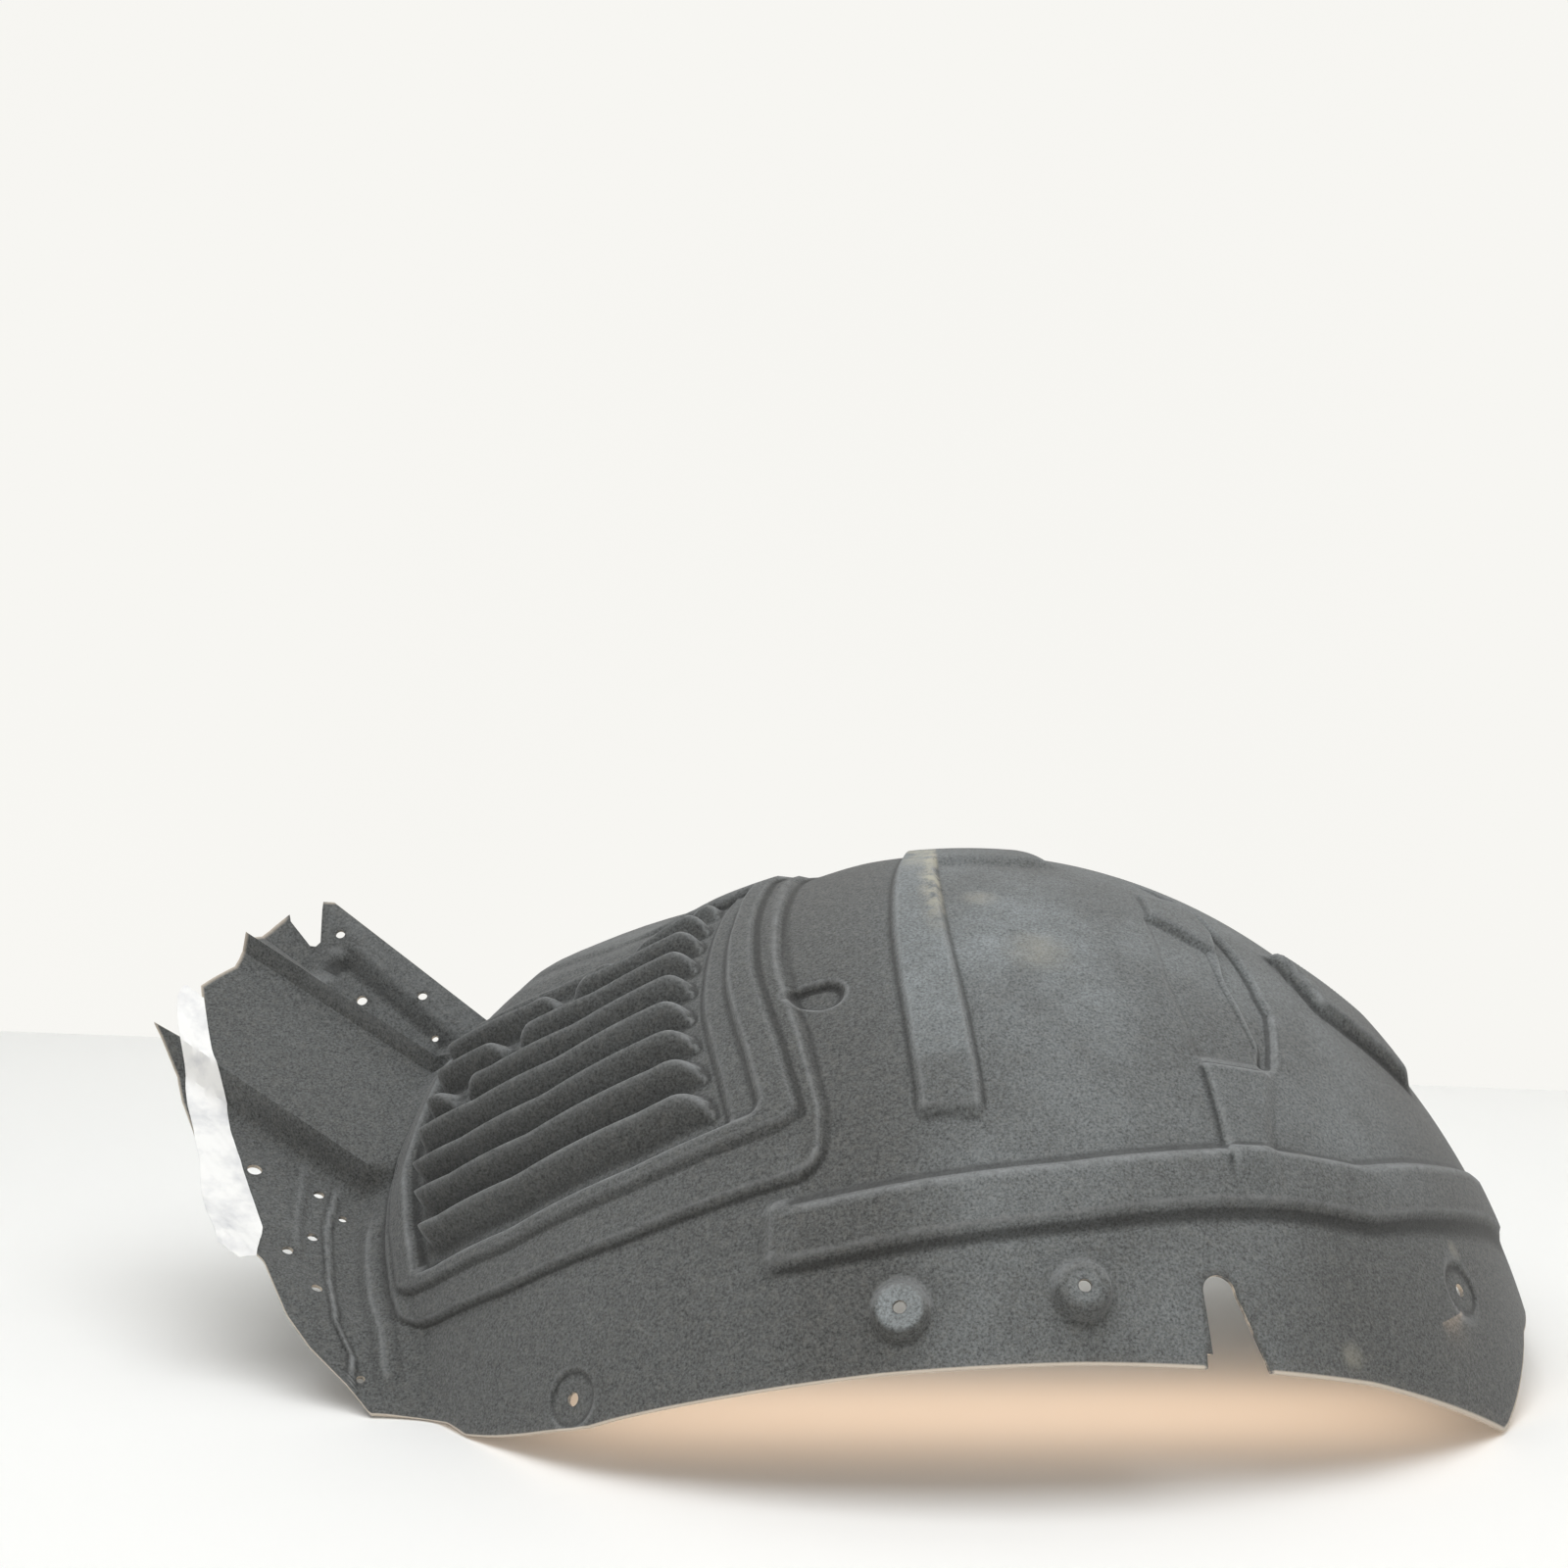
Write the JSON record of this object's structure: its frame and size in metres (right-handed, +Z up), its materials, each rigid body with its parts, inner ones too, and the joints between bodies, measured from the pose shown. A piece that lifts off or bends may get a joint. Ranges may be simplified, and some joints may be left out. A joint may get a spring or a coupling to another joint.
{
  "type": "wheel arch liner",
  "caption": "Front wheel arch liner of moulded felt, lying on its lip, with a louvred panel, raised bands, screw bosses, a lip slot and a stepped end flange.",
  "frame": {"origin": "on the floor under the middle of the bounding box, in the pose in which the liner lies on its lip", "axes": "+Z up from the floor, +X along the liner from the end flange to the far end, +Y from the lip to the open back"},
  "size_m": [0.8856, 0.5498, 0.3114],
  "materials": {
    "felt": "matte needle felt",
    "paper": "matte paper"
  },
  "bodies": {
    "root": {"liner": "felt", "paper_label": "paper"}
  },
  "joints": []
}
